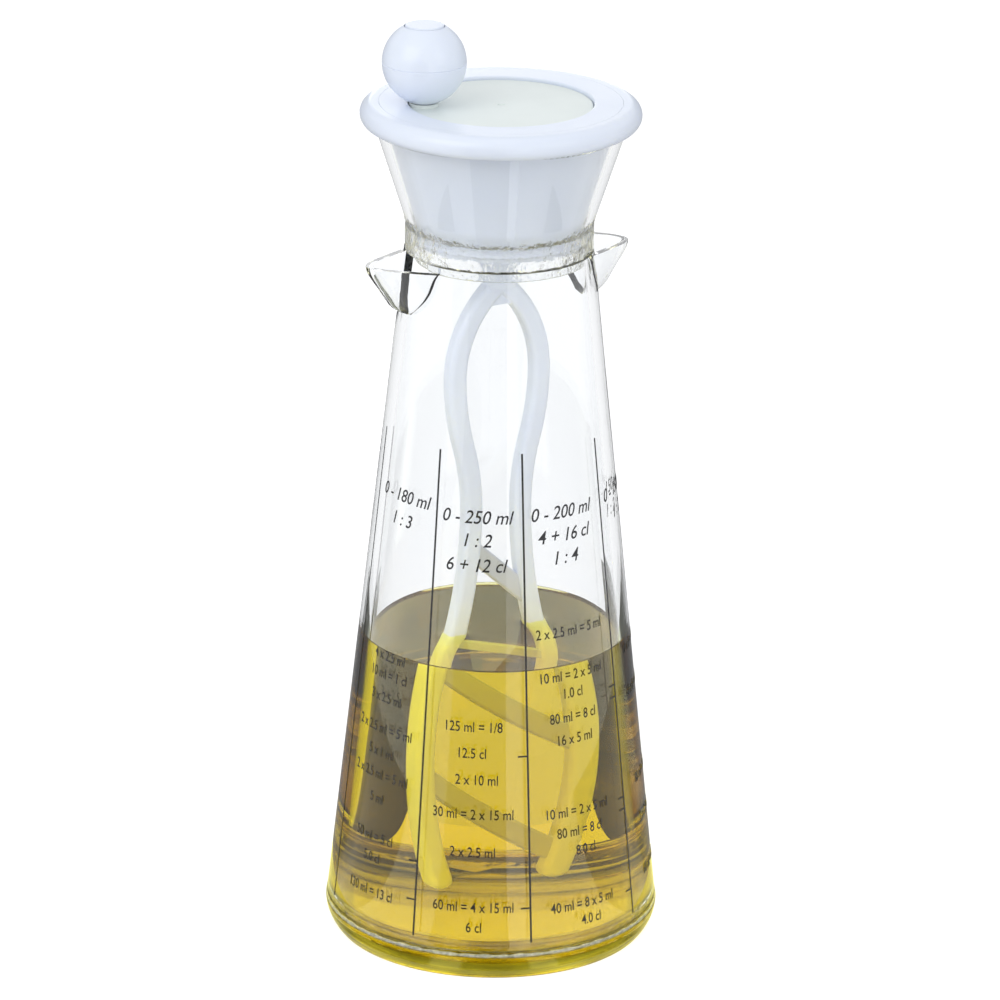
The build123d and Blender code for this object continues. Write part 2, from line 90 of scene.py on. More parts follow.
# The bead of glue round the seam between the body and the base
BEAD_HEIGHT = 0.0063
BEAD_HALF = 0.00045
BEAD_DEPTH = 0.0002
BEAD_PROUD = 0.0001
BEAD_RIPPLE_SHARE = 0.35
BEAD_RIPPLES = (17, 43)         # round the bottle
BEAD_STEPS = 288

# The base's round side starts outside this radius, where it has painted shade and painted glints
BASE_SIDE = 0.0355
# painted light: the oil's pale yellow, tinted into the base's clear floor
BASE_FLOOR_PAINTED_LIGHT = (0.97, 0.95, 0.72)
# painted shade in dark olive round the base's side
BASE_SIDE_PAINTED_SHADE = (0.22, 0.19, 0.013)
# painted glints, in patches among the painted shade
BASE_SIDE_PAINTED_GLINT = (0.62, 0.55, 0.06)

# The whisk's legs where they enter the oil, and its thin rungs, with painted shade on their faces
WHISK_ANGLE = math.radians(8.4)
LEG_RADIUS = 0.0104
RUNG_FACE = 0.00135             # the rungs' faces lie inside this, from the whisk's plane
RUNG_FACING = 0.6               # and face away from it
# painted shade, multiplied into the rungs' faces
RUNG_PAINTED_SHADE = (0.72, 0.7, 0.66)

# The mould line up the plug's cone: radius and height at its ends, as in the CAD
MOULD_LINE_LOW = (0.01898, 0.1722)
MOULD_LINE_HIGH = (0.02563, 0.1942)
MOULD_LINE_ANGLE = math.radians(-100.5)
MOULD_LINE_WIDTH = 0.00035
MOULD_LINE_DEPTH = 0.0001

# Liquid
OIL_LEVEL = 0.07286
OIL_OVERLAP = 0.00005           # into the walls, so that no film of air shows
OIL_STEPS = 192
MENISCUS_RISE = 0.0006
MENISCUS_REACH = 0.0012
LEG_MENISCUS_RISE = 0.0007
LEG_MENISCUS_RADIUS = 0.0024
LEG_MENISCUS_FADE = LEG_MENISCUS_RADIUS / 3
OIL_COLOR = (0.945, 0.9, 0.1)
OIL_DENSITY = 104.0             # of absorption, per metre
OIL_IOR = 1.47
OIL_SURFACE = (1.0, 0.98, 0.55)
OIL_SHADOW = (3.3, 3.2, 1.0)    # above 1, for the light that the round bottle gathers
SHARP_ANGLE = math.radians(30)  # the oil's edges sharper than this stay sharp

# Camera
VIEW_AZIMUTH = math.radians(-20.2)
VIEW_ELEVATION = 19.639         # degrees
VIEW_DISTANCE = 1.284046
VIEW_TARGET = Vector((0, 0, 0.104417))
VIEW_ROLL = math.radians(0.751)
VIEW_LENS = 199.51
SENSOR_WIDTH = 36
VIEW_SHIFT = 0.00406
VIEW_REACH = 50

# Lamps: name, degrees round from the camera, degrees up, distance, size and power
LAMPS = (
    ("key", -45, 35, 1.2, (0.8, 0.8), 3.2),
    ("fill", 50, 25, 1.4, (0.8, 1.0), 2),
    ("top", 0, 85, 1.2, (1.0, 1.0), 0.6),
)

# The room and its floor, as light on the object and as what the camera sees
SKY_COLOR = (0.95, 0.97, 1.0)
SKY_STRENGTH = 0.8
FLOOR_HALF = 20
FLOOR_GREY = 0.8
FLOOR_ROUGHNESS = 0.6
FLOOR_GLOW = 0.9
FLOOR_SHADED_GREY = 0.25        # added to the glow, so that the shadow stays

# Staging: dark cards on the floor behind the bottle, which the oil shows as its dark sides. Each fans
# out from a corner at the bottle's back, with a grey for each direction in degrees from straight behind.
RIGHT_CARD = [(22.9, 0.05), (46, 0.09), (50, 0.12), (55, 1.4), (68, 1.2), (75, 0.15), (125, 0.2)]
LEFT_CARD = [(30, 0.05), (46, 0.08), (50, 0.12), (54, 0.5), (68, 0.35), (75, 0.12), (125, 0.15)]
CARD_STEP = 5                   # degrees between rows, at most
CARD_CORNER = (0.005, 0.036)    # across and behind the axis
CARD_NEAR = 0.008               # from that corner
CARD_FAR = 0.24
CARD_LIFT = 0.0004
CARD_TINT = (0.93, 0.97, 0.75)

# Staging: a card round the bottle, only for the sheen on glossy pieces, with a grey for each
# direction in degrees from the camera
SHEEN = [
    (-180, 1.9), (-177.5, 2.6), (-175, 3.0), (-171, 3.0), (-168, 0.3), (-115, 0.3), (-100, 1.1),
    (-33, 1.1), (-32, 0.05), (9.5, 0.05), (10, 1.7), (21, 1.7), (21.5, 1.0), (100, 1.0),
    (115, 0.3), (169, 0.3), (173, 1.9), (180, 1.9),
]
SHEEN_STEP = 8
SHEEN_NEAR = 0.062
SHEEN_DISTANCE = 0.5
SHEEN_TOP = 0.33
SHEEN_LIFT = 0.0002
SHEEN_TINT = (0.97, 0.98, 1.0)

# Staging: the light that the oil throws under the bottle, by the distance from the axis
POOL = [
    (0, (0.03, 0.03, 0.01)), (0.026, (0.04, 0.035, 0.006)), (0.032, (0.22, 0.18, 0.015)),
    (0.039, (0.3, 0.25, 0.025)),
]
POOL_LIFT = 0.0002
POOL_STEPS = 48

# Staging: a ring of light and shade round the base, with a grey for each direction from the camera
BASE_RING = [
    (-180, 1.4), (-75, 1.1), (-60, 0.2), (-24, 0.1), (-22, 2.0), (-12, 2.0), (-10, 0.1),
    (14, 0.1), (16, 2.0), (25, 2.0), (27, 0.2), (60, 0.15), (75, 1.1), (180, 1.4),
]
BASE_RING_STEP = 6
BASE_RING_NEAR = 0.0392
BASE_RING_FAR = 0.062
BASE_RING_TINT = (1.0, 0.95, 0.35)

# Staging: an upright card behind the bottle, only for the light that the base's floor turns upward
BACK_DISTANCE = 0.6
BACK_HALF_WIDTH = 0.6
BACK_HEIGHTS = (0.1, 0.4)
BACK_COLOR = (1.4, 1.35, 0.8)

# Printed scale: angles about Z in degrees, heights in millimetres, as on a ruler
MM = 0.001
PRINT_LIFT = 0.00006
PRINT_DEPTH = 0.00003
LINE_WIDTH = 0.00045
LINE_LOW = 0.009
LINE_HIGH = 0.125
TICK_LENGTH = 0.0023
TICK_WIDTH = 0.00038
LINE_ANGLES = [-182.7, -137.7, -96.0, -50.5]
TICKS = {
    -137.7: [17.94, 27.16],
    -96.0: [17.64, 53.88],
    -50.5: [15.31, 35.31, 38.16, 62.76, 65.56],
}
TITLE_SIZE = 0.0044
TITLE_WIDTH_SHARE = 0.9
TITLE_SLANT = 0.25
SMALL_SIZE = 0.0034
SMALL_WIDTH_SHARE = 0.78
LETTER_STEPS = 4
STROKE_GROWTH = 0.00002
PRINT_LEAN = 0.006              # to the left, per height
TITLES = [
    (-159.0, 111.4, "0 - 180 ml"), (-159.0, 105.8, "1 : 3"),
    (-118.2, 109.8, "0 - 250 ml"), (-118.0, 104.4, "1 : 2"), (-118.2, 98.6, "6 + 12 cl"),
    (-75.8, 110.0, "0 - 200 ml"), (-75.2, 104.6, "4 + 16 cl"), (-75.6, 99.4, "1 : 4"),
    (-30.0, 110.0, "0 - 150 ml"), (-30.0, 104.8, "1 : 2"),
]
ROWS = [
    (-159.0, 73.0, "4 x 2.5 ml"), (-159.0, 68.6, "10 ml = 1 cl"), (-159.0, 63.2, "3 x 2.5 ml"),
    (-159.0, 55.8, "2 x 2.5 ml = 5 ml"), (-159.0, 50.2, "5 x 1 ml"), (-159.0, 44.8, "2 x 2.5 ml = 5 ml"),
    (-159.0, 39.0, "5 ml"), (-159.0, 29.7, "50 ml = 5 cl"), (-159.0, 24.7, "5.0 cl"),
    (-159.0, 16.6, "130 ml = 13 cl"),
    (-117.6, 60.7, "125 ml = 1/8"), (-118.0, 54.5, "12.5 cl"), (-115.8, 48.2, "2 x 10 ml"),
    (-117.1, 40.0, "30 ml = 2 x 15 ml"), (-116.9, 31.0, "2 x 2.5 ml"), (-116.4, 17.8, "60 ml = 4 x 15 ml"),
    (-116.0, 13.0, "6 cl"),
    (-74.3, 82.0, "2 x 2.5 ml = 5 ml"), (-74.8, 71.6, "10 ml = 2 x 5 ml"), (-75.3, 67.3, "1.0 cl"),
    (-75.3, 61.7, "80 ml = 8 cl"), (-75.3, 56.4, "16 x 5 ml"), (-75.4, 39.2, "10 ml = 2 x 5 ml"),
    (-74.9, 34.3, "80 ml = 8 cl"), (-73.0, 29.6, "8.0 cl"), (-75.0, 16.6, "40 ml = 8 x 5 ml"),
    (-72.3, 12.6, "4.0 cl"),
    (-29.0, 72.0, "10 ml = 1 cl"), (-29.0, 61.5, "60 ml = 6 cl"), (-29.0, 40.0, "80 ml = 8 cl"),
    (-29.0, 30.0, "2 x 2.5 ml"), (-29.0, 17.0, "60 ml = 6 cl"),
]


def shader_graph(name):
    """A new material's nodes, links, Principled shader and output."""
    material = bpy.data.materials.new(name)
    material.use_nodes = True
    nodes = material.node_tree.nodes
    links = material.node_tree.links
    return material, nodes, links, nodes["Principled BSDF"], nodes["Material Output"]


def add_math(nodes, links, operation, *values):
    """The output of a math node whose inputs are numbers or other nodes' outputs."""
    node = nodes.new("ShaderNodeMath")
    node.operation = operation
    for socket, value in zip(node.inputs, values):
        if isinstance(value, (int, float)):
            socket.default_value = value
        else:
            links.new(value, socket)
    return node.outputs["Value"]


def add_color_mix(nodes, links, blend, share, first, second):
    """The output of a colour mix, of colours or other nodes' outputs."""
    mix = nodes.new("ShaderNodeMix")
    mix.data_type = "RGBA"
    mix.blend_type = blend
    links.new(share, mix.inputs["Factor"])
    for socket, value in ((mix.inputs[6], first), (mix.inputs[7], second)):
        if isinstance(value, tuple):
            socket.default_value = (*value, 1)
        else:
            links.new(value, socket)
    return mix.outputs[2]


def add_noise(nodes, links, scale, detail, stretch=(1, 1, 1)):
    """A noise's output, in the piece's own coordinates, per metre."""
    place = nodes.new("ShaderNodeTexCoord")
    mapping = nodes.new("ShaderNodeMapping")
    mapping.inputs["Scale"].default_value = stretch
    noise = nodes.new("ShaderNodeTexNoise")
    noise.inputs["Scale"].default_value = scale
    noise.inputs["Detail"].default_value = detail
    links.new(place.outputs["Object"], mapping.inputs["Vector"])
    links.new(mapping.outputs["Vector"], noise.inputs["Vector"])
    return noise.outputs["Fac"]


def add_bump(nodes, links, height, shader, strength, distance):
    """Raise the surface by a height output."""
    bump = nodes.new("ShaderNodeBump")
    bump.inputs["Strength"].default_value = strength
    bump.inputs["Distance"].default_value = distance
    links.new(height, bump.inputs["Height"])
    links.new(bump.outputs["Normal"], shader.inputs["Normal"])
    return bump


def add_tint(nodes, links, source, low, high):
    """A colour output from a value output, between two colours."""
    ramp = nodes.new("ShaderNodeValToRGB")
    for end, position, color in zip(ramp.color_ramp.elements, TINT_ENDS, (low, high)):
        end.position = position
        end.color = (*color, 1)
    links.new(source, ramp.inputs["Fac"])
    return ramp.outputs["Color"]


def make_opaque(name, look, cloud_scale=CLOUD_SCALE, ripple_scale=RIPPLE_SCALE):
    """Moulded opaque plastic, with faint clouding and the ripple of the mould's polish."""
    low, high, roughness, coat, subsurface = look
    material, nodes, links, shader, output = shader_graph(name)
    clouds = add_noise(nodes, links, cloud_scale, NOISE_DETAIL)
    links.new(add_tint(nodes, links, clouds, low, high), shader.inputs["Base Color"])
    ripple = add_noise(nodes, links, ripple_scale, RIPPLE_DETAIL)
    add_bump(nodes, links, ripple, shader, *RIPPLE_BUMP)
    shader.inputs["Roughness"].default_value = roughness
    shader.inputs["Coat Weight"].default_value = coat
    shader.inputs["Coat Roughness"].default_value = COAT_ROUGHNESS
    shader.inputs["Subsurface Weight"].default_value = subsurface
    shader.inputs["Subsurface Radius"].default_value = SUBSURFACE_REACH
    return material


def out_of_whisk_plane(nodes, links, source):
    """How far a place, or a normal, points out of the whisk's plane."""
    place = nodes.new("ShaderNodeTexCoord")
    turn = nodes.new("ShaderNodeMapping")
    turn.vector_type = "VECTOR"
    turn.inputs["Rotation"].default_value = (0, 0, -WHISK_ANGLE)
    parts = nodes.new("ShaderNodeSeparateXYZ")
    links.new(place.outputs[source], turn.inputs["Vector"])
    links.new(turn.outputs["Vector"], parts.inputs["Vector"])
    return add_math(nodes, links, "ABSOLUTE", parts.outputs["Y"])


def make_whisk_plastic():
    """The whisk's white plastic, with painted shade that darkens the faces of its thin rungs."""
    material = make_opaque("whisk_plastic", WHISK_LOOK)
    nodes = material.node_tree.nodes
    links = material.node_tree.links
    color = nodes["Principled BSDF"].inputs["Base Color"]
    thin = add_math(nodes, links, "LESS_THAN", out_of_whisk_plane(nodes, links, "Object"), RUNG_FACE)
    facing = add_math(nodes, links, "GREATER_THAN", out_of_whisk_plane(nodes, links, "Normal"), RUNG_FACING)
    # where the painted shade darkens the rungs' faces
    rung_shade_mask = add_math(nodes, links, "MULTIPLY", thin, facing)
    links.new(add_color_mix(nodes, links, "MULTIPLY", rung_shade_mask, color.links[0].from_socket, RUNG_PAINTED_SHADE), color)
    return material


def make_glue():
    """Silvery glue with small bubbles, half clear."""
    material = make_opaque("seam_glue", GLUE_LOOK, BUBBLE_SCALE, BUBBLE_SCALE)
    shader = material.node_tree.nodes["Principled BSDF"]
    shader.inputs["Transmission Weight"].default_value = GLUE_CLEARNESS
    shader.inputs["IOR"].default_value = PLASTIC_IOR
    return material


def let_light_through(nodes, links, shader, output, tint):
    """Shadow rays pass a clear material with only a tint, so that what is inside is lit."""
    path = nodes.new("ShaderNodeLightPath")
    clear = nodes.new("ShaderNodeBsdfTransparent")
    clear.inputs["Color"].default_value = (*tint, 1)
    mix = nodes.new("ShaderNodeMixShader")
    links.new(path.outputs["Is Shadow Ray"], mix.inputs["Fac"])
    links.new(shader.outputs["BSDF"], mix.inputs[1])
    links.new(clear.outputs["BSDF"], mix.inputs[2])
    links.new(mix.outputs["Shader"], output.inputs["Surface"])


def frost_ramp(nodes, links, heights):
    """A colour output that is white between two heights and fades to black past them."""
    place = nodes.new("ShaderNodeTexCoord")
    parts = nodes.new("ShaderNodeSeparateXYZ")
    links.new(place.outputs["Object"], parts.inputs["Vector"])
    span = heights[1] * 2
    fade = FROST_FADE / span
    low, high = [height / span for height in heights]
    frost = nodes.new("ShaderNodeValToRGB")
    ends = frost.color_ramp.elements
    ends[0].position = low - fade
    ends[0].color = (0, 0, 0, 1)
    ends[1].position = high + fade
    ends[1].color = (0, 0, 0, 1)
    for position in (low, high):
        ends.new(position).color = (1, 1, 1, 1)
    links.new(add_math(nodes, links, "DIVIDE", parts.outputs["Z"], span), frost.inputs["Fac"])
    return frost.outputs["Color"]


def add_frost(nodes, links, shader, heights, look):
    """Roughen and crinkle a clear piece between two heights."""
    roughness, crinkle = look
    frost = frost_ramp(nodes, links, heights)
    links.new(add_math(nodes, links, "MULTIPLY", frost, roughness), shader.inputs["Roughness"])
    crinkles = add_noise(nodes, links, CRINKLE_SCALE, NOISE_DETAIL)
    raised = add_math(nodes, links, "MULTIPLY", frost, crinkles)
    return add_bump(nodes, links, raised, shader, crinkle, CRINKLE_DEPTH)


def make_clear(name, color, frost_heights, frost_look):
    """Clear moulded plastic with a very slight waviness, frosted between two heights."""
    material, nodes, links, shader, output = shader_graph(name)
    shader.inputs["Base Color"].default_value = (*color, 1)
    shader.inputs["Roughness"].default_value = 0.0
    shader.inputs["IOR"].default_value = PLASTIC_IOR
    shader.inputs["Transmission Weight"].default_value = 1.0
    waves = add_noise(nodes, links, WAVE_SCALE, WAVE_DETAIL, WAVE_STRETCH)
    wave_bump = add_bump(nodes, links, waves, shader, *WAVE_BUMP)
    frost_bump = add_frost(nodes, links, shader, frost_heights, frost_look)
    links.new(wave_bump.outputs["Normal"], frost_bump.inputs["Normal"])
    let_light_through(nodes, links, shader, output, CLEAR_SHADOW)
    return material


def make_base_plastic():
    """The base's clear plastic: painted yellow light on its floor, painted shade and glints round its side.
    """
    material = make_clear("base_plastic", BASE_FLOOR_PAINTED_LIGHT, SEAM_FROST, BASE_FROST_LOOK)
    nodes = material.node_tree.nodes
    links = material.node_tree.links
    place = nodes.new("ShaderNodeTexCoord")
    flat = nodes.new("ShaderNodeMapping")
    flat.inputs["Scale"].default_value = (1, 1, 0)
    length = nodes.new("ShaderNodeVectorMath")
    length.operation = "LENGTH"
    links.new(place.outputs["Object"], flat.inputs["Vector"])
    links.new(flat.outputs["Vector"], length.inputs[0])
    outside = add_math(nodes, links, "GREATER_THAN", length.outputs["Value"], BASE_SIDE)
    # painted glints and painted shade, in patches round the base's side
    glint_patches = add_noise(nodes, links, GLINT_PATCH_SCALE, GLINT_PATCH_DETAIL)
    side = add_tint(nodes, links, glint_patches, BASE_SIDE_PAINTED_SHADE, BASE_SIDE_PAINTED_GLINT)
    color = add_color_mix(nodes, links, "MIX", outside, BASE_FLOOR_PAINTED_LIGHT, side)
    links.new(color, nodes["Principled BSDF"].inputs["Base Color"])
    return material


def make_oil():
    """Clear yellow oil that absorbs blue along the ray's way."""
    material, nodes, links, shader, output = shader_graph("olive_oil")
    shader.inputs["Base Color"].default_value = (*OIL_SURFACE, 1)
    shader.inputs["Roughness"].default_value = 0.0
    shader.inputs["IOR"].default_value = OIL_IOR
    shader.inputs["Transmission Weight"].default_value = 1.0
    let_light_through(nodes, links, shader, output, OIL_SHADOW)
    absorb = nodes.new("ShaderNodeVolumeAbsorption")
    absorb.inputs["Color"].default_value = (*OIL_COLOR, 1)
    absorb.inputs["Density"].default_value = OIL_DENSITY
    links.new(absorb.outputs["Volume"], output.inputs["Volume"])
    return material


def make_ink():
    """Flat black screen print with slightly uneven cover."""
    low, high, roughness = INK_LOOK
    material, nodes, links, shader, output = shader_graph("print_ink")
    cover = add_noise(nodes, links, INK_SCALE, NOISE_DETAIL)
    links.new(add_tint(nodes, links, cover, low, high), shader.inputs["Base Color"])
    shader.inputs["Roughness"].default_value = roughness
    return material


def cone_radius(height):
    """Outside radius of the bottle's cone."""
    share = (height - SEAM_HEIGHT) / (RIM_HEIGHT - SEAM_HEIGHT)
    return SEAM_RADIUS + (RIM_RADIUS - SEAM_RADIUS) * share


def inside_radius(height):
    """Inside radius of the bottle's cone."""
    share = (height - SEAM_HEIGHT) / (RIM_HEIGHT - SEAM_HEIGHT)
    return cone_radius(height) - SEAM_WALL - (RIM_WALL - SEAM_WALL) * share


def on_circle(radius, turn, height):
    """Point at a radius and an angle about Z."""
    return Vector((radius * math.cos(turn), radius * math.sin(turn), height))


def on_cone(angle, across, height, lift):
    """Point on the bottle's cone: an angle in radians, a way to the right of it, a height and a lift."""
    radius = cone_radius(height) + lift
    return on_circle(radius, angle + across / radius, height)


def new_object(name, mesh, material):
    """An object in the scene with one material."""
    piece = bpy.data.objects.new(name, mesh)
    bpy.context.scene.collection.objects.link(piece)
    mesh.materials.clear()
    mesh.materials.append(material)
    return piece


def built_mesh(name, build):
    """The mesh of a bmesh, which is freed."""
    mesh = bpy.data.meshes.new(name)
    build.to_mesh(mesh)
    build.free()
    return mesh


def smooth(mesh):
    """Shade a mesh smooth."""
    for face in mesh.polygons:
        face.use_smooth = True


def leg_meniscus(place):
    """How far the oil climbs near the legs, at a place in X and Y."""
    lift = 0
    for side in (-1, 1):
        leg = on_circle(side * LEG_RADIUS, WHISK_ANGLE, 0)
        gap = max((place - leg.xy).length - LEG_MENISCUS_RADIUS, 0)
        lift += LEG_MENISCUS_RISE * math.exp(-gap / LEG_MENISCUS_FADE)
    return lift


def turned_oil(name, outline, steps):
    """A closed mesh turned about Z from (radius, height) points that start and end on the axis."""
    build = bmesh.new()
    rings = []
    for radius, height in outline:
        if radius == 0:
            rings.append([build.verts.new((0, 0, height))])
            continue
        ring = []
        for step in range(steps):
            point = on_circle(radius, math.tau * step / steps, height)
            if height >= OIL_LEVEL:
                point.z = height + leg_meniscus(point.xy)
            ring.append(build.verts.new(point))
        rings.append(ring)
    for low, high in zip(rings, rings[1:]):
        for step in range(steps):
            after = (step + 1) % steps
            if len(low) == 1:
                build.faces.new((low[0], high[step], high[after]))
            elif len(high) == 1:
                build.faces.new((low[step], high[0], low[after]))
            else:
                build.faces.new((low[step], high[step], high[after], low[after]))
    bmesh.ops.recalc_face_normals(build, faces=build.faces)
    for edge in build.edges:
        edge.smooth = edge.calc_face_angle() < SHARP_ANGLE
    mesh = built_mesh(name, build)
    smooth(mesh)
    return mesh


def oil_outline():
    """The oil's (radius, height) points, from the floor's middle up the wall and in over the surface."""
    outline = [(0, FLOOR_TOP - OIL_OVERLAP)]
    outline.append((SPIGOT_INSIDE + OIL_OVERLAP, FLOOR_TOP - OIL_OVERLAP))
    outline.append((SPIGOT_INSIDE + OIL_OVERLAP, SPIGOT_TOP - OIL_OVERLAP))
    wall_steps = 12
    wall_foot = SPIGOT_TOP - OIL_OVERLAP
    wall_rise = OIL_LEVEL + MENISCUS_RISE - SPIGOT_TOP + OIL_OVERLAP
    for step in range(wall_steps + 1):
        height = wall_foot + wall_rise * step / wall_steps
        outline.append((inside_radius(height) + OIL_OVERLAP, height))
    meniscus_steps = 8
    edge = outline[-1][0] - OIL_OVERLAP
    for step in range(1, meniscus_steps + 1):
        share = step / meniscus_steps
        outline.append((edge - MENISCUS_REACH * share, OIL_LEVEL + MENISCUS_RISE * (1 - share) ** 3))
    surface_steps = 60
    radius = outline[-1][0]
    for step in range(1, surface_steps):
        outline.append((radius * (1 - step / surface_steps), OIL_LEVEL))
    outline.append((0, OIL_LEVEL))
    return outline


def make_oil_piece(material):
    """The oil in the bottle, with a meniscus at the wall and at the whisk's legs."""
    piece = new_object("dressing_oil", turned_oil("dressing_oil", oil_outline(), OIL_STEPS), material)
    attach(piece, "bottle")


def wrap_mesh(mesh, angle, height, width_share=1.0):
    """Lay a flat mesh, drawn in X and Y, on the bottle's cone at an angle and a height."""
    rise = RIM_HEIGHT - SEAM_HEIGHT
    slant = math.hypot(rise, SEAM_RADIUS - RIM_RADIUS) / rise
    for vertex in mesh.vertices:
        x, y, z = vertex.co
        level = height + y / slant
        across = x * width_share - (level - LINE_LOW) * PRINT_LEAN
        vertex.co = on_cone(angle, across, level, PRINT_LIFT + z)


def bar_mesh(name, low, high):
    """A flat bar between two corners."""
    build = bmesh.new()
    bmesh.ops.create_cube(build, size=1.0)
    size = Vector((high[0] - low[0], high[1] - low[1], PRINT_DEPTH * 2))
    centre = Vector(((high[0] + low[0]) / 2, (high[1] + low[1]) / 2, 0))
    bmesh.ops.scale(build, vec=size, verts=build.verts)
    bmesh.ops.translate(build, vec=centre, verts=build.verts)
    return built_mesh(name, build)


def text_mesh(words, size, slant):
    """Letters as a thin mesh, centred on the origin."""
    curve = bpy.data.curves.new("letters", "FONT")
    curve.body = words
    curve.size = size
    curve.align_x = "CENTER"
    curve.align_y = "CENTER"
    curve.extrude = PRINT_DEPTH
    curve.shear = slant
    curve.offset = STROKE_GROWTH
    curve.resolution_u = LETTER_STEPS
    holder = bpy.data.objects.new("letters", curve)
    bpy.context.scene.collection.objects.link(holder)
    mesh = bpy.data.meshes.new_from_object(holder)
    bpy.data.objects.remove(holder)
    bpy.data.curves.remove(curve)
    return mesh


def join_meshes(name, meshes):
    """One mesh from several."""
    build = bmesh.new()
    for mesh in meshes:
        build.from_mesh(mesh)
        bpy.data.meshes.remove(mesh)
    return built_mesh(name, build)


def line_meshes():
    """The scale's upright lines and its ticks, laid on the bottle."""
    meshes = []
    middle = (LINE_LOW + LINE_HIGH) / 2
    half = (LINE_HIGH - LINE_LOW) / 2
    for angle in LINE_ANGLES:
        line = bar_mesh("line", (-LINE_WIDTH / 2, -half), (LINE_WIDTH / 2, half))
        wrap_mesh(line, math.radians(angle), middle)
        meshes.append(line)
    for angle, heights in TICKS.items():
        for height in heights:
            tick = bar_mesh("tick", (-TICK_LENGTH, -TICK_WIDTH / 2), (0, TICK_WIDTH / 2))
            wrap_mesh(tick, math.radians(angle), height * MM)
            meshes.append(tick)
    return meshes


def letter_meshes():
    """The scale's rows of plain numbers and units, laid on the bottle."""
    meshes = []
    styles = (
        (TITLES, TITLE_SIZE, TITLE_WIDTH_SHARE, TITLE_SLANT),
        (ROWS, SMALL_SIZE, SMALL_WIDTH_SHARE, 0),
    )
    for rows, size, width_share, slant in styles:
        for angle, height, words in rows:
            letters = text_mesh(words, size, slant)
            wrap_mesh(letters, math.radians(angle), height * MM, width_share)
            meshes.append(letters)
    return meshes


def make_print(material):
    """The printed scale, as one thin piece."""
    meshes = line_meshes() + letter_meshes()
    piece = new_object("printed_scale", join_meshes("printed_scale", meshes), material)
    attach(piece, "bottle")


def make_seam_bead(material):
    """The bead of glue that shows as a silvery line round the seam between the body and the base."""
    build = bmesh.new()
    outline = (
        (-BEAD_DEPTH, -BEAD_HALF), (BEAD_PROUD, -BEAD_HALF / 2), (BEAD_PROUD, BEAD_HALF / 2),
        (-BEAD_DEPTH, BEAD_HALF),
    )
    slow, fast = BEAD_RIPPLES
    rings = []
    for step in range(BEAD_STEPS):
        turn = math.tau * step / BEAD_STEPS
        swell = 1 + BEAD_RIPPLE_SHARE * math.sin(turn * slow) * math.sin(turn * fast + 1)
        ring = []
        for lift, up in outline:
            height = BEAD_HEIGHT + up * swell
            ring.append(build.verts.new(on_circle(cone_radius(height) + lift, turn, height)))
        rings.append(ring)
    for index, ring in enumerate(rings):
        after = rings[(index + 1) % BEAD_STEPS]
        for corner in range(len(ring)):
            beyond = (corner + 1) % len(ring)
            build.faces.new((ring[corner], after[corner], after[beyond], ring[beyond]))
    bmesh.ops.recalc_face_normals(build, faces=build.faces)
    mesh = built_mesh("seam_bead", build)
    smooth(mesh)
    piece = new_object("seam_bead", mesh, material)
    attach(piece, "bottle")


def make_mould_line(material):
    """The raised line that the mould leaves up the plug's cone."""
    build = bmesh.new()
    half = MOULD_LINE_WIDTH / 2
    outline = (
        (-half, -MOULD_LINE_DEPTH), (-half / 2, MOULD_LINE_DEPTH), (half / 2, MOULD_LINE_DEPTH),
        (half, -MOULD_LINE_DEPTH),
    )
    rows = []
    for radius, height in (MOULD_LINE_LOW, MOULD_LINE_HIGH):
        row = []
        for across, lift in outline:
            turn = MOULD_LINE_ANGLE + across / radius
            row.append(build.verts.new(on_circle(radius + lift, turn, height)))
        rows.append(row)
    low, high = rows
    for index in range(len(low)):
        after = (index + 1) % len(low)
        build.faces.new((low[index], low[after], high[after], high[index]))
    build.faces.new(low)
    build.faces.new(high)
    bmesh.ops.recalc_face_normals(build, faces=build.faces)
    piece = new_object("mould_line", built_mesh("mould_line", build), material)
    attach(piece, "lid")


def view_direction(azimuth, elevation):
    """Unit vector from the object, by angles from the camera's azimuth in degrees."""
    turn = VIEW_AZIMUTH + math.radians(azimuth)
    rise = math.radians(elevation)
    return Vector((math.sin(turn) * math.cos(rise), -math.cos(turn) * math.cos(rise), math.sin(rise)))


def view_point(across, behind, height):
    """A place given by its way to the camera's right and its way behind the axis."""
    place = view_direction(90, 0) * across + view_direction(180, 0) * behind
    return Vector((place.x, place.y, height))


def looking_back(away, distance):
    """The place and turn of a camera or lamp that looks at the target from a direction."""
    turn = (-away).to_track_quat("-Z", "Y").to_matrix().to_4x4()
    return Matrix.Translation(VIEW_TARGET + away * distance) @ turn


def make_camera():
    """The camera at the photograph's place."""
    data = bpy.data.cameras.new("camera")
    data.lens = VIEW_LENS
    data.sensor_width = SENSOR_WIDTH
    data.shift_x = VIEW_SHIFT
    data.clip_end = VIEW_REACH
    camera = bpy.data.objects.new("camera", data)
    away = view_direction(0, VIEW_ELEVATION)
    camera.matrix_world = looking_back(away, VIEW_DISTANCE) @ Matrix.Rotation(VIEW_ROLL, 4, "Z")
    bpy.context.scene.collection.objects.link(camera)
    bpy.context.scene.camera = camera


def make_lamp(name, azimuth, elevation, distance, size, power):
    """A soft lamp that points at the bottle's middle."""
    data = bpy.data.lights.new(name, "AREA")
    data.shape = "RECTANGLE"
    data.size = size[0]
    data.size_y = size[1]
    data.energy = power
    lamp = bpy.data.objects.new(name, data)
    lamp.matrix_world = looking_back(view_direction(azimuth, elevation), distance)
    lamp.visible_camera = False
    bpy.context.scene.collection.objects.link(lamp)


def seen_directly(nodes, links):
    """1 for a ray from the camera or through a clear piece, and otherwise 0."""
    path = nodes.new("ShaderNodeLightPath")
    return add_math(
        nodes, links, "MAXIMUM", path.outputs["Is Camera Ray"], path.outputs["Is Transmission Ray"]
    )


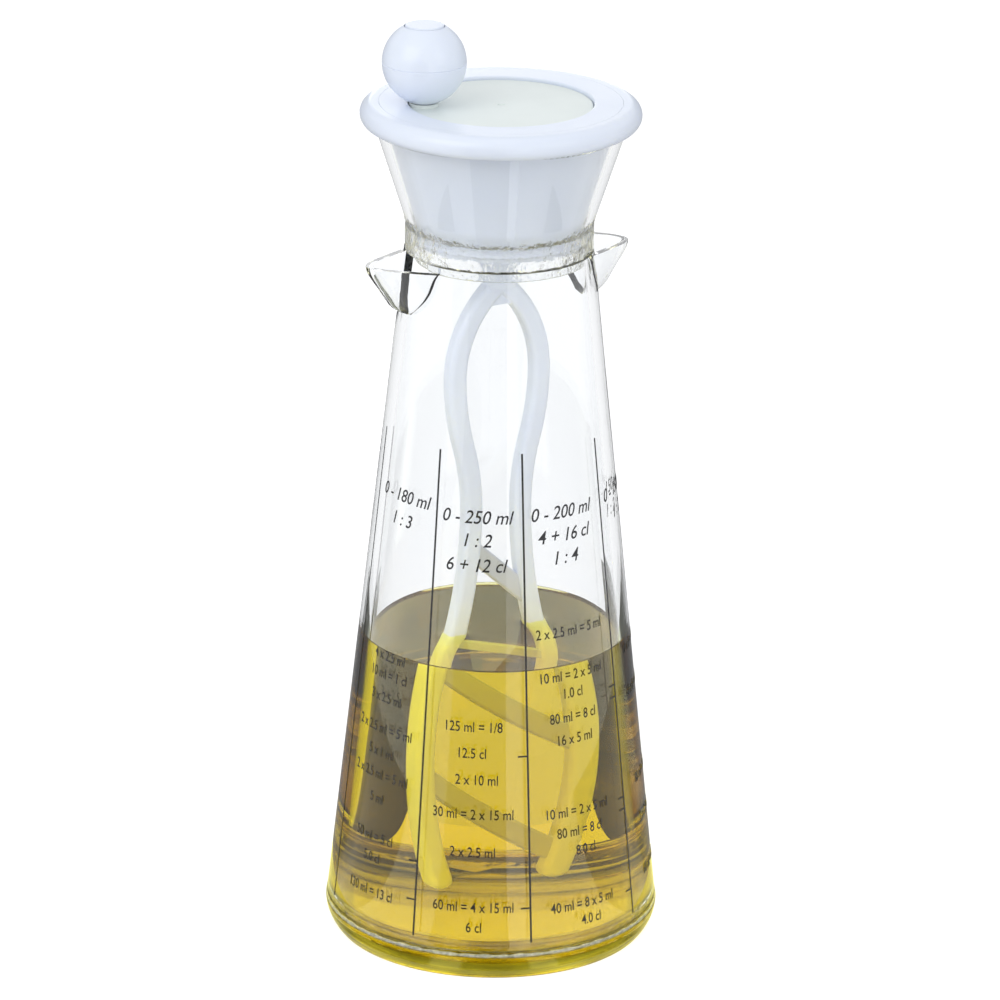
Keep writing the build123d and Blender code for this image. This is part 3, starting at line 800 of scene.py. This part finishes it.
def make_floor():
    """A pale floor that keeps the shadow and is white to the camera and through the clear pieces."""
    build = bmesh.new()
    bmesh.ops.create_grid(build, x_segments=1, y_segments=1, size=FLOOR_HALF)
    material, nodes, links, shader, output = shader_graph("floor")
    shader.inputs["Base Color"].default_value = (FLOOR_GREY, FLOOR_GREY, FLOOR_GREY, 1)
    shader.inputs["Roughness"].default_value = FLOOR_ROUGHNESS
    glow = nodes.new("ShaderNodeEmission")
    glow.inputs["Strength"].default_value = FLOOR_GLOW
    plain = nodes.new("ShaderNodeBsdfDiffuse")
    plain.inputs["Color"].default_value = (FLOOR_SHADED_GREY, FLOOR_SHADED_GREY, FLOOR_SHADED_GREY, 1)
    add = nodes.new("ShaderNodeAddShader")
    links.new(glow.outputs["Emission"], add.inputs[0])
    links.new(plain.outputs["BSDF"], add.inputs[1])
    mix = nodes.new("ShaderNodeMixShader")
    links.new(seen_directly(nodes, links), mix.inputs["Fac"])
    links.new(shader.outputs["BSDF"], mix.inputs[1])
    links.new(add.outputs["Shader"], mix.inputs[2])
    links.new(mix.outputs["Shader"], output.inputs["Surface"])
    floor = new_object("floor", built_mesh("floor", build), material)


def stage_card(name, rows, colors):
    """A card from rows of points with a colour each, seen neither by the camera nor by the light."""
    build = bmesh.new()
    tone = build.verts.layers.float_color.new("tone")
    corners = []
    for row, color in zip(rows, colors):
        corners.append([build.verts.new(point) for point in row])
        for corner in corners[-1]:
            corner[tone] = (*color, 1)
    for left, right in zip(corners, corners[1:]):
        for low in range(len(left) - 1):
            build.faces.new((left[low], right[low], right[low + 1], left[low + 1]))
    material, nodes, links, shader, output = shader_graph(name)
    shade = nodes.new("ShaderNodeVertexColor")
    shade.layer_name = "tone"
    glow = nodes.new("ShaderNodeEmission")
    links.new(shade.outputs["Color"], glow.inputs["Color"])
    links.new(glow.outputs["Emission"], output.inputs["Surface"])
    card = new_object(name, built_mesh(name, build), material)
    card.visible_camera = False
    card.visible_diffuse = False
    card.visible_shadow = False
    return card


def fan_rows(stops, longest, tint):
    """The directions of a card's rows and their colours: its stops, and more where they are far apart."""
    directions = [stops[0][0]]
    greys = [stops[0][1]]
    for (low, low_grey), (high, high_grey) in zip(stops, stops[1:]):
        parts = math.ceil((high - low) / longest)
        for part in range(1, parts + 1):
            directions.append(low + (high - low) * part / parts)
            greys.append(low_grey + (high_grey - low_grey) * part / parts)
    return directions, [[grey * share for share in tint] for grey in greys]


def make_dark_card(name, side, stops):
    """A fan on the floor behind the bottle, only for what is seen through the clear pieces."""
    rows = []
    directions, colors = fan_rows(stops, CARD_STEP, CARD_TINT)
    for direction in directions:
        turn = math.radians(direction)
        row = []
        for reach in (CARD_NEAR, CARD_FAR):
            across = side * (reach * math.sin(turn) - CARD_CORNER[0])
            row.append(view_point(across, CARD_CORNER[1] + reach * math.cos(turn), CARD_LIFT))
        rows.append(row)
    card = stage_card(name, rows, colors)
    card.visible_glossy = False


def make_sheen_card():
    """A card on the floor all round that turns up at its far edge, only for reflections."""
    rows = []
    directions, colors = fan_rows(SHEEN, SHEEN_STEP, SHEEN_TINT)
    lift = Vector((0, 0, SHEEN_LIFT))
    for direction in directions:
        way = view_direction(direction, 0)
        foot = way * SHEEN_DISTANCE + lift
        rows.append([way * SHEEN_NEAR + lift, foot, foot + Vector((0, 0, SHEEN_TOP))])
    card = stage_card("sheen_card", rows, colors)
    card.visible_transmission = False


def make_pool_card():
    """A disc on the floor under the bottle, only for what is seen through the clear pieces."""
    turns = [math.tau * step / POOL_STEPS for step in range(POOL_STEPS + 1)]
    rows = []
    for radius, color in POOL:
        rows.append([on_circle(radius, turn, POOL_LIFT) for turn in turns])
    card = stage_card("pool_card", rows, [color for radius, color in POOL])
    card.visible_glossy = False


def make_ring_card():
    """A ring on the floor round the base, seen through the clear pieces and in their gloss."""
    rows = []
    directions, colors = fan_rows(BASE_RING, BASE_RING_STEP, BASE_RING_TINT)
    lift = Vector((0, 0, POOL_LIFT))
    for direction in directions:
        way = view_direction(direction, 0)
        rows.append([way * BASE_RING_NEAR + lift, way * BASE_RING_FAR + lift])
    stage_card("ring_card", rows, colors)


def make_back_card():
    """An upright card behind the bottle, only for what is seen through the clear pieces."""
    rows = []
    for across in (-BACK_HALF_WIDTH, BACK_HALF_WIDTH):
        rows.append([view_point(across, BACK_DISTANCE, height) for height in BACK_HEIGHTS])
    card = stage_card("back_card", rows, [BACK_COLOR, BACK_COLOR])
    card.visible_glossy = False


def make_world():
    """A plain pale room, white behind the object."""
    world = bpy.data.worlds.new("studio")
    bpy.context.scene.world = world
    world.use_nodes = True
    nodes = world.node_tree.nodes
    links = world.node_tree.links
    sky = nodes["Background"]
    sky.inputs["Color"].default_value = (*SKY_COLOR, 1)
    sky.inputs["Strength"].default_value = SKY_STRENGTH
    white = nodes.new("ShaderNodeBackground")
    white.inputs["Color"].default_value = (1, 1, 1, 1)
    white.inputs["Strength"].default_value = 1.0
    mix = nodes.new("ShaderNodeMixShader")
    links.new(seen_directly(nodes, links), mix.inputs["Fac"])
    links.new(sky.outputs["Background"], mix.inputs[1])
    links.new(white.outputs["Background"], mix.inputs[2])
    links.new(mix.outputs["Shader"], nodes["World Output"].inputs["Surface"])


def set_render():
    """Light paths long enough for the nested clear walls, and plain colours."""
    scene = bpy.context.scene
    scene.view_settings.view_transform = "Standard"
    scene.cycles.max_bounces = 24
    scene.cycles.transmission_bounces = 24
    scene.cycles.glossy_bounces = 6
    scene.cycles.diffuse_bounces = 4
    scene.cycles.transparent_max_bounces = 32
    scene.cycles.use_denoising = True


def dress(nodes, material):
    """Give CAD nodes a material."""
    for name in nodes:
        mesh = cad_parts[name].data
        mesh.materials.clear()
        mesh.materials.append(material)


white_gloss = make_opaque("white_plastic", WHITE_LOOK)
dress(["bottle_body"], make_clear("body_plastic", CLEAR_COLOR, SEAM_FROST, BODY_FROST_LOOK))
dress(["bottle_base"], make_base_plastic())
dress(["neck_collar"], make_clear("collar_plastic", CLEAR_COLOR, COLLAR_FROST, COLLAR_FROST_LOOK))
dress(["lid_plug", "bezel_ring", "knob_lower_half", "knob_upper_half", "knob_pin"], white_gloss)
dress(["whisk", "drive_shaft"], make_whisk_plastic())
dress(["turntable"], make_opaque("disc_plastic", DISC_LOOK))
dress(["plug_seal", "shaft_seal"], make_opaque("silicone", SEAL_LOOK))

make_oil_piece(make_oil())
make_print(make_ink())
make_seam_bead(make_glue())
make_mould_line(white_gloss)
make_camera()
make_floor()
make_dark_card("card_right", 1, RIGHT_CARD)
make_dark_card("card_left", -1, LEFT_CARD)
make_sheen_card()
make_pool_card()
make_ring_card()
make_back_card()
make_world()
for lamp in LAMPS:
    make_lamp(*lamp)
set_render()
